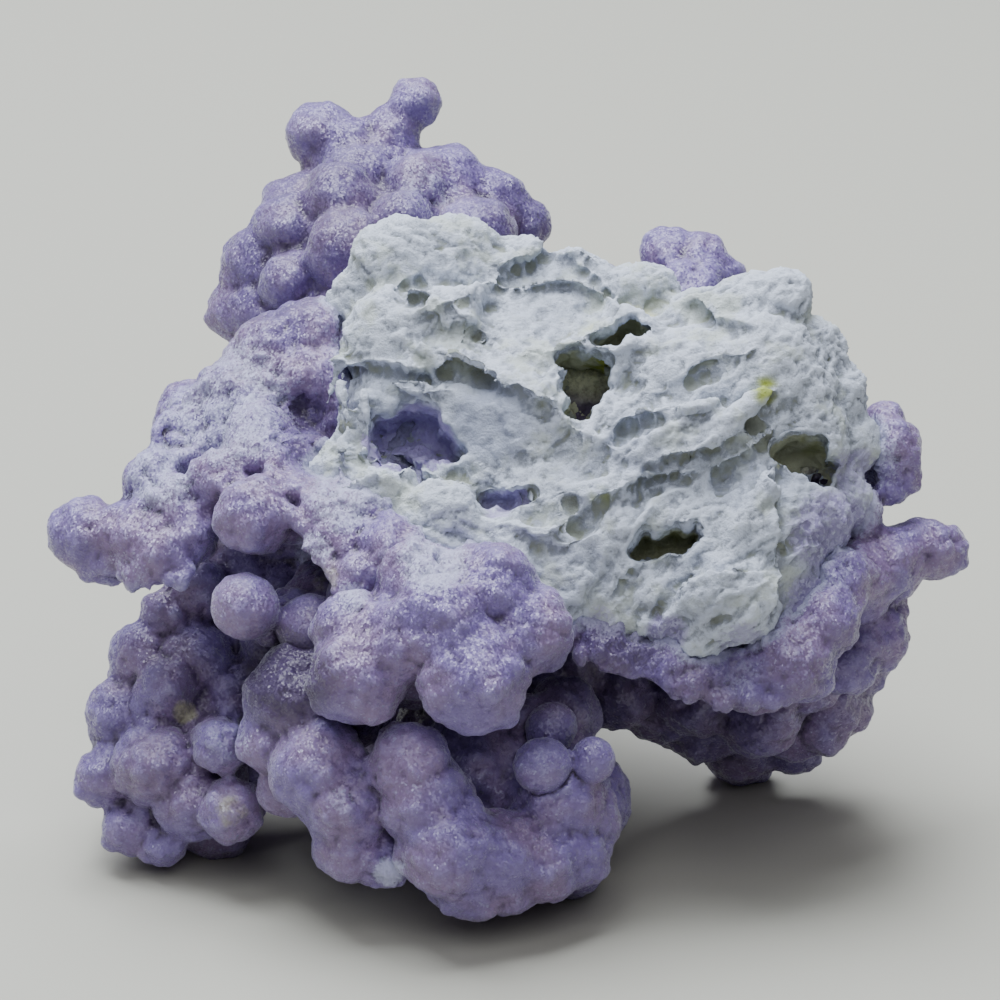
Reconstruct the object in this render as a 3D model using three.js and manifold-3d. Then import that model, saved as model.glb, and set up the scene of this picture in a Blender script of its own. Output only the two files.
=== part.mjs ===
// A hand specimen of botryoidal purple chalcedony. Grape-like spherules stand in fingers, knobs
// and feet under and behind a white, pitted crust of altered host rock, which faces up and forward.
import * as THREE from "three";
import { SimplifyModifier } from "three/addons/modifiers/SimplifyModifier.js";
import { mergeVertices } from "three/addons/utils/BufferGeometryUtils.js";
import Module from "manifold-3d";

const wasm = await Module();
wasm.setup();

// Driving dimensions, in millimetres and degrees.
const sight = { elevation: 22, distance: 320, heightAtCentre: 20.4 }; // the line that places are read along
const originShift = new THREE.Vector3(0.65, 2.6, 0); // from the line of sight's foot to the base's centre
const crustRoom = 0.9; // cut round the crust, so that it stays 0.3 clear after both are thinned
const flatGround = { width: 90, depth: 20 }; // block that trims the lowest grapes flat at z = 0
const lumpStretch = [1.4, 1.35, 1.05]; // a crust lump's half-sizes, as shares of its radius
const triangleBudget = { chalcedony: 5800, crust: 1900, crustSpace: 900 };
const hair = 0.01; // how far thinned skins are drawn in
const spreadRadius = { least: 1.7, most: 2.8 }; // of the grapes that are spread over the cores
const bareSide = { back: -0.25, up: -0.6 }; // past these shares of a core, no grape is set by hand
const ballDetail = { grape: 1, freeBall: 2, lump: 2, core: 3, pit: 1 };
const serials = { firstSpread: 500, perCore: 100 }; // which draws turn and size the spread grapes
const goldenAngle = Math.PI * (3 - Math.sqrt(5));

// Every grape is [across, up, back, radius]: across and up are in the picture plane, which stands
// square to the line of sight, and back runs along it, away from the eye.
const grapes = {
  leftFinger: [
    [-24.8, -2.2, -4, 2.3],
    [-24.0, -3.6, -4.5, 1.6],
    [-22.2, -2.2, -5, 2.3],
    [-20.1, -2.9, -6, 2.2],
    [-18.7, -1.8, -6, 1.9],
    [-19.7, -0.1, -5.5, 1.7],
  ],
  leftCrust: [
    [-21.0, 1.1, -4, 1.9],
    [-18.6, 3.5, -2, 2.4],
    [-16.1, 5.9, -1, 2.6],
    [-13.7, 8.3, 0, 2.9],
    [-11.1, 9.9, 0, 2.5],
    [-16.7, 1.3, -6, 1.9],
    [-14.1, 3.1, -4, 2.7],
    [-11.7, 1.5, -7, 2.4],
    [-10.3, 4.5, -3, 2.4],
    [-14.8, -1.0, -8.5, 2.3],
    [-12.6, -1.2, -7, 1.6],
    [-11.0, 6.5, -2, 2.6],
    [-8.6, 3.6, -3, 2.4],
    [-5.4, 3.6, -3.5, 2.4],
    [-6.2, 0.8, -5.5, 2.0],
    [-14.6, 5.4, -2, 2.2],
  ],
  overhang: [
    [-10.4, -0.8, -8.5, 1.8],
    [-9.4, -2.6, -9.5, 1.9],
    [-8.2, -4.6, -10.5, 1.9],
    [-6.4, -3.0, -10.5, 2.2],
    [-8.0, -0.6, -8.5, 2.0],
  ],
  cave: [
    [-13.7, -7.3, -6.4, 1.5],
    [-12.6, -7.0, -4.6, 1.7],
    [-20.1, -6.7, 0, 1.6],
    [-18.2, -5.4, 0.5, 2.0],
    [-15.0, -4.4, 2.5, 2.4],
    [-16.6, -8.6, 2.5, 2.6],
    [-13.0, -8.6, -0.5, 2.6],
    [-10.6, -6.0, -2.5, 2.4],
  ],
  leftFoot: [
    [-20.1, -11.4, -2, 2.0],
    [-21.6, -9.3, 0, 1.9],
    [-18.3, -9.9, 0, 2.5],
    [-22.8, -12.9, 0, 2.2],
    [-20.7, -15.9, -3, 2.4],
    [-23.8, -16.6, -1, 1.9],
    [-22.3, -15.2, 0, 2.0],
    [-22.5, -19.8, -1.5, 1.6],
    [-21.2, -18.6, -0.5, 2.0],
    [-20.1, -20.9, -2, 1.4],
    [-18.5, -18.1, -3, 2.3],
    [-16.1, -18.7, -5, 1.9],
    [-16.7, -14.7, -5.5, 1.7],
    [-17.0, -14.6, -3.2, 1.8],
    [-18.0, -13.8, 0, 2.7],
  ],
  middleColumn: [
    [-12.0, -11.8, -8, 3.2],
    [-14.0, -14.4, -8, 1.9],
    [-10.8, -16.1, -10, 2.9],
    [-9.3, -18.3, -10.5, 2.6],
    [-8.9, -20.7, -10, 2.2],
    [-7.7, -21.4, -10, 1.7],
    [-6.7, -22.4, -10.5, 1.1],
    [-12.9, -17.4, -7, 1.8],
    [-9.3, -12.0, -6, 3.0],
  ],
  frontColumn: [
    [-5.4, -15.8, -12, 2.5],
    [-4.3, -18.3, -12, 2.6],
    [-3.0, -20.9, -12, 3.0],
    [-1.8, -22.9, -11, 2.3],
    [-0.1, -21.4, -11, 2.8],
    [-1.8, -15.6, -6.5, 3.4],
  ],
  frontFoot: [
    [3.6, -18.3, -9, 2.8],
    [5.2, -19.1, -8, 2.0],
    [4.4, -21.1, -9, 2.3],
    [2.4, -21.7, -10, 2.5],
    [0.4, -23.0, -10.5, 2.0],
    [1.3, -13.0, -8, 0.8],
    [1.8, -17.4, -7, 3.0],
  ],
  frontLobe: [
    [-8.5, -10.5, -13, 3.0],
    [-6.3, -8.4, -13, 2.7],
    [-3.6, -7.3, -13.5, 3.1],
    [-1.5, -10.7, -14.5, 3.2],
    [1.8, -7.8, -13, 2.6],
    [-9.0, -7.7, -12, 2.3],
    [-0.6, -5.4, -12.5, 2.9],
    [-4.8, -4.8, -12, 2.5],
  ],
  underRim: [
    [4.9, -7.4, -8.5, 1.8],
    [6.6, -8.4, -9, 1.6],
    [8.2, -9.1, -9, 1.6],
    [10.3, -9.5, -9.5, 1.6],
    [12.4, -10.1, -9.5, 1.6],
    [14.5, -10.6, -9, 2.0],
    [17.3, -9.6, -9, 2.8],
    [19.3, -7.3, -8, 2.3],
    [16.0, -11.5, -8, 1.4],
    [13.0, -11.5, -7.2, 1.1],
    [20.3, -4.8, -7, 2.0],
  ],
  rightFinger: [
    [21.4, -4.8, -4, 2.5],
    [23.5, -3.7, -3, 2.2],
    [25.6, -3.1, -2, 1.9],
    [26.9, -3.0, -1.5, 1.4],
  ],
  rightLobe: [
    [22.2, -8.4, -2, 2.3],
    [23.0, -6.7, -1, 1.7],
    [20.8, -9.7, -3, 2.0],
    [21.7, -6.0, 0, 2.4],
  ],
  rightKnob: [
    [23.6, 3.1, -3, 1.8],
    [24.4, 1.5, -3, 1.1],
    [23.0, 4.6, -2, 1.3],
    [23.4, 0.6, -3, 1.1],
    [21.6, 2.8, -0.5, 2.4],
    [20.0, 2.0, 2.0, 2.6],
  ],
  rearRightFoot: [
    [16.5, -12.8, 1, 2.0],
    [17.1, -12.5, -1, 0.8],
    [19.3, -13.3, 4, 2.0],
    [21.0, -12.7, 5, 1.6],
    [12.0, -13.3, 6, 2.6],
    [14.4, -14.7, 8, 2.5],
    [9.6, -12.1, 5, 2.6],
    [7.1, -11.4, 3, 2.4],
    [14.4, -15.1, 10.6, 2.3],
    [17.5, -15.0, 8, 1.8],
  ],
  rearLeftFoot: [
    [-5.1, -12.8, 16.9, 2.4],
    [-8.0, -12.0, 16.5, 2.6],
    [-5.5, -10.0, 16.0, 2.8],
  ],
  topRightKnob: [
    [9.9, 14.8, 6, 1.8],
    [12.0, 14.2, 6, 2.0],
    [13.6, 13.6, 6, 1.2],
    [11.4, 12.3, 4, 2.0],
  ],
  backLobe: [
    [-5.0, 23.8, 17, 1.7],
    [-6.5, 22.2, 17, 1.8],
    [-10.9, 22.0, 17, 2.2],
    [-9.3, 20.7, 17, 2.5],
    [-7.1, 19.7, 17, 2.9],
    [-3.6, 18.0, 16, 3.4],
    [-0.6, 17.5, 16, 2.6],
    [1.6, 16.6, 16, 1.6],
    [-12.0, 16.9, 16, 2.9],
    [-14.1, 13.9, 15, 2.8],
    [-15.6, 11.3, 15, 2.2],
    [-10.2, 15.0, 14, 3.3],
    [-6.0, 14.3, 14, 3.6],
    [-2.3, 14.3, 14, 3.5],
  ],
};

// Nearly free balls, laid out like the grapes: two at the left cave's mouth, three on the front foot.
const freeBalls = [
  [-15.3, -6.4, -9, 2.1],
  [-11.4, -7.6, -8, 2.0],
  [2.5, -15.9, -11.5, 1.7],
  [5.5, -15.6, -9, 1.35],
  [3.1, -13.7, -8.5, 1.6],
];

// The massive chalcedony that the grapes grow from: centre [across, up, back], half-sizes the same
// way, how many grapes are spread over it, and whether they also cover the side towards the eye.
const cores = [
  { centre: [3, 3.5, 3.5], half: [17, 9, 6], spread: 64 },
  { centre: [-12, 2, 3.5], half: [6.8, 7, 5.5], spread: 24 },
  { centre: [-18.6, -14.2, 2], half: [3.6, 5.4, 4], spread: 12, allRound: true },
  { centre: [0.5, -17, -5], half: [6, 5.5, 4], spread: 16 },
  { centre: [-3.5, -7, -7.5], half: [7, 5.5, 5], spread: 0 },
  { centre: [-7, 11, 14.5], half: [7.5, 8.5, 5.5], spread: 44, allRound: true },
  { centre: [-6, -5, 12], half: [6, 10, 6], spread: 30 },
  { centre: [16, -8, 4], half: [6, 6, 4.5], spread: 24, allRound: true },
];

// Lumps of the white crust, laid out like the grapes.
const crustLumps = {
  topRidge: [
    [-8.2, 12.2, -1, 1.6],
    [-6.0, 14.0, -1, 2.4],
    [-2.7, 14.2, 0, 2.4],
    [0.7, 13.1, 0, 2.2],
    [4.5, 12.7, 0, 2.0],
    [8.4, 11.9, -1, 2.0],
    [12.0, 10.1, -3, 2.2],
    [15.1, 10.9, -4, 2.3],
    [16.9, 12.2, -5, 1.4],
    [18.4, 8.6, -4, 2.0],
    [19.8, 6.2, -4, 1.8],
    [20.7, 3.4, -4, 1.6],
    [20.2, 0.2, -5, 1.7],
  ],
  face: [
    [-6.0, 9.6, -3, 2.7],
    [-3.6, 9.0, -3, 3.0],
    [0.0, 9.0, -3.5, 3.0],
    [3.6, 9.3, -4, 3.0],
    [7.2, 7.8, -4, 3.0],
    [11.4, 6.3, -5, 3.3],
    [15.6, 6.9, -5.5, 3.3],
    [-6.0, 6.0, -4, 2.4],
    [-2.4, 4.8, -5, 2.7],
    [1.8, 4.2, -6, 3.0],
    [6.0, 3.0, -6, 3.0],
    [10.2, 2.4, -7, 3.0],
    [14.4, 2.4, -7, 3.0],
    [17.6, 3.6, -6, 2.5],
    [18.3, -1.2, -7, 2.1],
  ],
  lowerFace: [
    [15.6, -2.4, -8.5, 3.0],
    [11.4, -2.4, -8, 3.0],
    [7.2, -1.8, -8, 2.9],
    [3.0, -0.6, -7.5, 2.7],
    [-1.2, 1.2, -6, 2.4],
    [-3.6, -1.8, -9, 2.2],
    [0.0, -3.6, -9, 2.4],
    [3.6, -4.8, -9, 2.3],
    [6.6, -6.0, -8.5, 2.0],
    [9.9, -6.0, -9, 2.2],
    [13.8, -5.8, -10.5, 2.3],
    [12.3, -7.6, -10, 1.5],
    [17.0, -5.2, -8, 2.0],
    [-7.2, 0.0, -8, 1.8],
    [-9.3, 1.8, -6, 1.7],
  ],
};

// Ridges that the crust is folded into: middle [across, up, back], half-length, half-width and the
// turn of the ridge in the picture plane, in degrees from across.
const folds = [
  { middle: [-3.0, 11.0, -5.6], half: [3.2, 0.8], turn: -32 },
  { middle: [-7.6, 8.4, -4.6], half: [3.0, 0.8], turn: -48 },
  { middle: [-1.6, 8.2, -6.2], half: [3.6, 0.8], turn: -20 },
  { middle: [2.2, 6.0, -8.2], half: [2.8, 0.8], turn: -38 },
  { middle: [-3.4, 6.4, -7.0], half: [3.4, 0.7], turn: -12 },
  { middle: [8.6, 6.0, -7.6], half: [3.4, 0.9], turn: 38 },
  { middle: [9.8, 4.0, -9.4], half: [4.0, 0.9], turn: 30 },
  { middle: [13.4, 8.6, -7.6], half: [3.2, 0.8], turn: 48 },
  { middle: [13.6, 4.6, -9.6], half: [3.6, 0.8], turn: 36 },
  { middle: [14.6, -1.4, -10.8], half: [4.2, 0.9], turn: 62 },
  { middle: [5.6, 0.6, -9.8], half: [4.4, 0.8], turn: 14 },
  { middle: [2.8, -2.2, -10.6], half: [3.8, 0.8], turn: -14 },
];

// Pits and caves in the crust: mouth centre [across, up, back], half-sizes the same way.
const pits = {
  mainHole: { mouth: [5.2, 7.0, -8], half: [1.5, 2.1, 5] },
  upperHole: { mouth: [7.3, 9.9, -6], half: [1.5, 0.7, 3.5] },
  lowerHole: { mouth: [9.9, -2.4, -11], half: [2.2, 0.9, 4.5] },
  rightHole: { mouth: [18.3, 2.4, -8.5], half: [1.5, 1.4, 4] },
  wideCave: { mouth: [-4.6, 3.6, -8.5], half: [2.9, 1.5, 4] },
  leftCave: { mouth: [-11.1, 3.9, -7], half: [1.5, 2.2, 3] },
  slit: { mouth: [0.0, 0.6, -9.5], half: [1.9, 0.45, 3] },
  dimple: { mouth: [-5.1, 12.4, -4.5], half: [1.5, 0.9, 1.6] },
  dish: { mouth: [2.7, 11.4, -7], half: [3.9, 2.4, 2.2] },
};

// Turns a place read in the picture plane into the specimen's own frame: x right, y back, z up.
function place([across, up, back]) {
  const tilt = THREE.MathUtils.degToRad(sight.elevation);
  const spread = 1 + back / sight.distance;
  return new THREE.Vector3(
    across * spread,
    back * Math.cos(tilt) + up * spread * Math.sin(tilt),
    sight.heightAtCentre - back * Math.sin(tilt) + up * spread * Math.cos(tilt),
  ).sub(originShift);
}

// Repeatable number from 0 to 1 for the n-th draw.
function draw(n) {
  const { step, start, spread } = { step: 12.9898, start: 4.1, spread: 43758.5453 };
  return Math.abs(Math.sin(n * step + start) * spread) % 1;
}

function toSolid(geometry) {
  const bare = geometry.clone();
  bare.deleteAttribute("normal");
  bare.deleteAttribute("uv");
  const merged = mergeVertices(bare, 1e-4);
  return new wasm.Manifold(
    new wasm.Mesh({
      numProp: 3,
      vertProperties: new Float32Array(merged.attributes.position.array),
      triVerts: new Uint32Array(merged.index.array),
    }),
  );
}

function toGeometry(solid) {
  const mesh = solid.getMesh();
  const positions = new Float32Array(mesh.numVert * 3);
  for (let i = 0; i < mesh.numVert; i++)
    positions.set(mesh.vertProperties.subarray(i * mesh.numProp, i * mesh.numProp + 3), i * 3);
  const geometry = new THREE.BufferGeometry()
    .setAttribute("position", new THREE.BufferAttribute(positions, 3))
    .setIndex(new THREE.BufferAttribute(new Uint32Array(mesh.triVerts), 1));
  geometry.computeVertexNormals();
  return geometry;
}

// One grape: a ball whose sides are slightly flattened, turned a different way each time.
function grapeSolid(centre, radius, serial, detail) {
  const ball = new THREE.IcosahedronGeometry(radius, detail);
  ball.rotateX(draw(serial) * Math.PI);
  ball.rotateZ(draw(serial + 0.5) * Math.PI);
  ball.translate(centre.x, centre.y, centre.z);
  return toSolid(ball);
}

function grapeSolids(rows, firstSerial, detail) {
  return rows.map((row, i) => grapeSolid(place(row), row[3], firstSerial + i, detail));
}

// A ball stretched along the picture plane's own directions, then turned in that plane.
function sightEllipsoid(centre, half, detail, turn = 0) {
  const ball = new THREE.IcosahedronGeometry(1, detail);
  ball.scale(half[0], half[2], half[1]);
  ball.rotateY(-THREE.MathUtils.degToRad(turn));
  ball.rotateX(-THREE.MathUtils.degToRad(sight.elevation));
  ball.translate(centre.x, centre.y, centre.z);
  return ball;
}

// Grapes spread over the sides of a core that the hand-set grapes leave bare.
function spreadGrapes(core, firstSerial) {
  const found = [];
  for (let i = 0; i < core.spread; i++) {
    const up = 1 - (2 * (i + 0.5)) / core.spread;
    const ring = Math.sqrt(1 - up * up);
    const turn = i * goldenAngle + firstSerial;
    const back = ring * Math.sin(turn);
    const hidden = back > bareSide.back || up < bareSide.up;
    if (!core.allRound && !hidden) continue;
    const offset = [ring * Math.cos(turn), up, back];
    const spot = offset.map((share, axis) => core.centre[axis] + share * core.half[axis]);
    const radius = THREE.MathUtils.lerp(spreadRadius.least, spreadRadius.most, draw(firstSerial + i));
    found.push([...spot, radius]);
  }
  return found;
}

function crustSolid(swell) {
  const lumps = Object.values(crustLumps).flat().map(([across, up, back, radius]) => {
    const half = lumpStretch.map((share) => share * radius + swell);
    return toSolid(sightEllipsoid(place([across, up, back]), half, ballDetail.lump));
  });
  const ridges = folds.map(({ middle, half: [long, wide], turn }) => {
    const half = [long, wide, wide].map((size) => size + swell);
    return toSolid(sightEllipsoid(place(middle), half, ballDetail.lump, turn));
  });
  return wasm.Manifold.union([...lumps, ...ridges]);
}

function pitSolids() {
  return Object.values(pits).map(({ mouth, half }) =>
    toSolid(sightEllipsoid(place(mouth), half, ballDetail.pit)),
  );
}

function chalcedonySolid() {
  const placed = Object.values(grapes).flat();
  const spread = cores.flatMap((core, i) => spreadGrapes(core, serials.perCore * (i + 1)));
  return wasm.Manifold.union([
    ...grapeSolids(placed, 0, ballDetail.grape),
    ...grapeSolids(spread, serials.firstSpread, ballDetail.grape),
    ...cores.map((core) => toSolid(sightEllipsoid(place(core.centre), core.half, ballDetail.core))),
  ]);
}

function groundSolid() {
  const block = new THREE.BoxGeometry(flatGround.width, flatGround.width, flatGround.depth);
  block.translate(0, 0, -flatGround.depth / 2);
  return toSolid(block);
}

// Keeps the outside of what grew as one piece: no hollow stays sealed up between the balls.
function withoutHollows(solid) {
  const shells = solid.decompose().sort((a, b) => b.volume() - a.volume());
  return shells[0];
}

// Drops the slivers that crossing balls leave, down to about that many triangles, and draws the
// skin in by a hair, so that folds that touch along an edge come apart.
async function thinned(solid, triangles) {
  const full = toGeometry(solid);
  full.deleteAttribute("normal");
  const excess = (solid.numTri() - triangles) / 2;
  const skin = toGeometry(toSolid(await new SimplifyModifier().modify(full, excess)));
  const { position, normal } = skin.attributes;
  const point = new THREE.Vector3();
  const outward = new THREE.Vector3();
  for (let i = 0; i < position.count; i++) {
    point.fromBufferAttribute(position, i);
    point.addScaledVector(outward.fromBufferAttribute(normal, i), -hair);
    position.setXYZ(i, point.x, point.y, point.z);
  }
  return toSolid(skin);
}

function named(name, solid, colour, roughness) {
  const material = new THREE.MeshStandardMaterial({ color: colour, roughness, metalness: 0 });
  const mesh = new THREE.Mesh(toGeometry(solid), material);
  mesh.name = name;
  return mesh;
}

const holes = wasm.Manifold.union(pitSolids());
const crust = await thinned(crustSolid(0).subtract(holes), triangleBudget.crust);
const crustSpace = await thinned(crustSolid(crustRoom), triangleBudget.crustSpace);
const balls = grapeSolids(freeBalls, 0, ballDetail.freeBall);
const mass = await thinned(chalcedonySolid(), triangleBudget.chalcedony);
const grown = wasm.Manifold.union([mass, ...balls]).subtract(crustSpace).subtract(holes);
const chalcedony = withoutHollows(grown.subtract(groundSolid()));

const specimen = new THREE.Group();
specimen.add(named("chalcedony", chalcedony, "#8d7a9c", 0.35));
specimen.add(named("host_rock_crust", withoutHollows(crust), "#c9cbc8", 0.9));
export default specimen;
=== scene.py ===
import math
import random

import bmesh
import bpy
import numpy as np
from mathutils import Matrix, Vector, noise


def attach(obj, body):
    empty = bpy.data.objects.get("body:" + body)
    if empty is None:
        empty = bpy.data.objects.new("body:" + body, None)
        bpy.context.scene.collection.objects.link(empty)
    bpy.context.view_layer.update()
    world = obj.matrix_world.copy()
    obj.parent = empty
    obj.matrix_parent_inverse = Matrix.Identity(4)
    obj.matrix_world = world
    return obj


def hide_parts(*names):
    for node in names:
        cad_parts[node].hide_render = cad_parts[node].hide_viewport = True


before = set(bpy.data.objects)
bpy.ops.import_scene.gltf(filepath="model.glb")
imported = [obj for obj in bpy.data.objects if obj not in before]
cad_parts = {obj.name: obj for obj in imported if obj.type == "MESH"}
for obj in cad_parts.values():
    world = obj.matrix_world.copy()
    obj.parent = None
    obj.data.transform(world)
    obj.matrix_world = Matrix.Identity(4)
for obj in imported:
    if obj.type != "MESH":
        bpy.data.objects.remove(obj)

noise.seed_set(1)  # else it follows the clock
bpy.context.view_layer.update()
metresPerMm = 0.001  # everything is worked out in mm and made metres at the end

# the picture plane: across and up lie in it, back runs away from the eye, all in mm
sight = {
    "elevation": 22.0,
    "distance": 320.0,
    "centreHeight": 20.4,
    "halfWidth": 30.0,  # what half the picture's width covers at the picture plane
    "originShift": (0.65, 2.6, 0.0),
}
tilt = math.radians(sight["elevation"])
towardsEye = np.array((0, -math.cos(tilt), math.sin(tilt)))


def toFrame(across, up, back):
    spread = 1 + back / sight["distance"]
    spot = Vector((
        across * spread,
        back * math.cos(tilt) + up * spread * math.sin(tilt),
        sight["centreHeight"] - back * math.sin(tilt) + up * spread * math.cos(tilt),
    ))
    return spot - Vector(sight["originShift"])


# the way back, for a whole array of points
def toSight(points):
    x, y, z = (points + np.array(sight["originShift"])).T
    z = z - sight["centreHeight"]
    back = y * math.cos(tilt) - z * math.sin(tilt)
    spread = 1 + back / sight["distance"]
    return x / spread, (y * math.sin(tilt) + z * math.cos(tilt)) / spread, back


def ease(low, high, values):
    share = np.clip((values - low) / (high - low), 0, 1)
    return share * share * (3 - 2 * share)


def addObject(name, data):
    made = bpy.data.objects.new(name, data)
    bpy.context.scene.collection.objects.link(made)
    return made


def addMesh(name, bm):
    mesh = bpy.data.meshes.new(name)
    bm.to_mesh(mesh)
    bm.free()
    return addObject(name, mesh)


# camera, floor and light

studio = {
    "floorSize": 3.0,
    "floorColour": (0.44, 0.43, 0.38, 1),
    "worldColour": (0.9, 0.95, 1.0, 1),
    "worldStrength": 0.04,
    # azimuth, elevation, distance in m, size in m, watts, colour
    "lights": {
        "window_light": (120, 72, 0.5, 0.42, 7.0, (0.9, 0.95, 1.0)),
        "side_light": (192, 38, 0.6, 0.4, 0.6, (0.92, 0.96, 1.0)),
        "front_fill": (-84, 50, 0.6, 0.45, 1.5, (0.95, 0.97, 1.0)),
    },
}


def makeCamera():
    aim = toFrame(0, 0, 0) * metresPerMm
    away = Vector(towardsEye)
    data = bpy.data.cameras.new("camera")
    data.angle = 2 * math.atan(sight["halfWidth"] / sight["distance"])
    data.clip_start = 0.01
    camera = addObject("camera", data)
    camera.location = aim + away * sight["distance"] * metresPerMm
    camera.rotation_euler = away.to_track_quat("Z", "Y").to_euler()
    bpy.context.scene.camera = camera


def makeLights():
    aim = Vector((0, 0, 0.018))
    for name, (azimuth, elevation, distance, size, watts, colour) in studio["lights"].items():
        turn, rise = math.radians(azimuth), math.radians(elevation)
        away = Vector((math.cos(turn) * math.cos(rise), math.sin(turn) * math.cos(rise), math.sin(rise)))
        data = bpy.data.lights.new(name, "AREA")
        data.size, data.energy, data.color = size, watts, colour
        light = addObject(name, data)
        light.location = aim + away * distance
        light.rotation_euler = away.to_track_quat("Z", "Y").to_euler()
    world = bpy.data.worlds.new("studio")
    world.use_nodes = True
    background = world.node_tree.nodes["Background"]
    background.inputs["Color"].default_value = studio["worldColour"]
    background.inputs["Strength"].default_value = studio["worldStrength"]
    bpy.context.scene.world = world


def makeFloor():
    bm = bmesh.new()
    bmesh.ops.create_grid(bm, x_segments=1, y_segments=1, size=studio["floorSize"] / 2)
    floor = addMesh("floor", bm)
    finish = bpy.data.materials.new("pale_floor")
    finish.use_nodes = True
    surface = finish.node_tree.nodes["Principled BSDF"]
    surface.inputs["Base Color"].default_value = studio["floorColour"]
    surface.inputs["Roughness"].default_value = 0.8
    floor.data.materials.append(finish)


# node trees: a wire is one socket, so that sums on wires become Math nodes

class Wire:
    def __init__(self, graph, socket):
        self.graph, self.socket = graph, socket

    def maths(self, operation, *values, clamp=False):
        settings = {"operation": operation, "use_clamp": clamp}
        return self.graph.node("ShaderNodeMath", settings, dict(enumerate(values)))

    def __add__(self, other):
        return self.maths("ADD", self, other)

    def __sub__(self, other):
        return self.maths("SUBTRACT", self, other)

    def __rsub__(self, other):
        return self.maths("SUBTRACT", other, self)

    def __mul__(self, other):
        return self.maths("MULTIPLY", self, other)

    def limited(self):
        return self.maths("ADD", self, 0.0, clamp=True)

    def orMore(self, other):
        return self.maths("MAXIMUM", self, other)

    __radd__ = __add__
    __rmul__ = __mul__


class Graph:
    def __init__(self, tree):
        self.tree = tree

    def node(self, kind, settings=None, sockets=None, output=0):
        made = self.tree.nodes.new(kind)
        for key, value in (settings or {}).items():
            setattr(made, key, value)
        for key, value in (sockets or {}).items():
            for one in value if isinstance(value, list) else [value]:
                if isinstance(one, Wire):
                    self.tree.links.new(one.socket, made.inputs[key])
                else:
                    made.inputs[key].default_value = one
        return Wire(self, made.outputs[output]) if made.outputs else None

    def mix(self, factor, first, second):
        return self.node("ShaderNodeMix", {"data_type": "RGBA"}, {0: factor, 6: first, 7: second}, output=2)

    def span(self, value, low, high):  # 0 at low, 1 at high, eased
        settings = {"interpolation_type": "SMOOTHSTEP"}
        return self.node("ShaderNodeMapRange", settings, {0: value, 1: low, 2: high})

    def vector(self, operation, *values, output=0):
        return self.node("ShaderNodeVectorMath", {"operation": operation}, dict(enumerate(values)), output)

    def clouds(self, spot, size, detail=3.0, roughness=0.55, output=0):  # size in mm
        sockets = {"Vector": spot, "Scale": 1 / size, "Detail": detail, "Roughness": roughness}
        return self.node("ShaderNodeTexNoise", None, sockets, output)

    def cells(self, spot, size, output=0):
        return self.node("ShaderNodeTexVoronoi", None, {"Vector": spot, "Scale": 1 / size}, output)


class Paint(Graph):  # a material
    def __init__(self, name):
        self.material = bpy.data.materials.new(name)
        self.material.use_nodes = True
        super().__init__(self.material.node_tree)
        self.tree.nodes.clear()

    def spot(self):  # object coordinates in mm
        place = self.node("ShaderNodeTexCoord", output="Object")
        return self.node("ShaderNodeMapping", None, {"Vector": place, "Scale": (1000, 1000, 1000)})

    def painted(self, name):
        return self.node("ShaderNodeAttribute", {"attribute_name": name}, output="Fac")

    def finish(self, sockets):
        surface = self.node("ShaderNodeBsdfPrincipled", None, sockets, output="BSDF")
        self.node("ShaderNodeOutputMaterial", None, {"Surface": surface})
        return self.material


class Shaper(Graph):  # geometry nodes
    def __init__(self, name):
        super().__init__(bpy.data.node_groups.new(name, "GeometryNodeTree"))
        for side in ("INPUT", "OUTPUT"):
            self.tree.interface.new_socket("Geometry", in_out=side, socket_type="NodeSocketGeometry")
        self.shape = self.node("NodeGroupInput")

    def painted(self, name, kind="FLOAT"):
        return self.node("GeometryNodeInputNamedAttribute", {"data_type": kind}, {"Name": name})

    def paint(self, name, value):
        sockets = {"Geometry": self.shape, "Name": name, "Value": value}
        self.shape = self.node("GeometryNodeStoreNamedAttribute", {"data_type": "FLOAT"}, sockets)

    def spot(self):
        return self.node("GeometryNodeInputPosition")

    def lift(self, height):  # moves the skin outwards
        outward = self.node("GeometryNodeInputNormal")
        offset = self.node("ShaderNodeVectorMath", {"operation": "SCALE"}, {0: outward, "Scale": height})
        sockets = {"Geometry": self.shape, "Offset": offset}
        self.shape = self.node("GeometryNodeSetPosition", None, sockets)

    def gapTo(self, piece):  # distance to another piece's skin
        other = self.node("GeometryNodeObjectInfo", None, {"Object": piece}, output="Geometry")
        settings = {"target_element": "FACES"}
        return self.node("GeometryNodeProximity", settings, {0: other}, output="Distance")

    def shelves(self, value, count):  # makes flat shelves with steep edges of a slope
        level = value * count
        whole = level.maths("FLOOR", level)
        return (whole + self.span(level - whole, 0.72, 1.0)) * (1 / count)

    def blurred(self, spot, rounds):
        settings = {"data_type": "FLOAT_VECTOR"}
        return self.node("GeometryNodeBlurAttribute", settings, {"Value": spot, "Iterations": rounds})

    def melt(self, amount, rounds):  # draws the skin towards its own blurred shape
        spot = self.spot()
        ends = {0: amount, 4: spot, 5: self.blurred(spot, rounds)}
        merged = self.node("ShaderNodeMix", {"data_type": "VECTOR"}, ends, output=1)
        sockets = {"Geometry": self.shape, "Position": merged}
        self.shape = self.node("GeometryNodeSetPosition", None, sockets)

    def paintRelief(self, rounds, gain):  # over 0.5 on what stands proud of its surroundings
        spot = self.spot()
        proud = self.vector("SUBTRACT", spot, self.blurred(spot, rounds))
        height = self.vector("DOT_PRODUCT", proud, self.node("GeometryNodeInputNormal"), output=1)
        self.paint("relief", (height * gain + 0.5).limited())

    def finish(self):
        self.node("NodeGroupOutput", None, {"Geometry": self.shape})
        return self.tree


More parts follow.
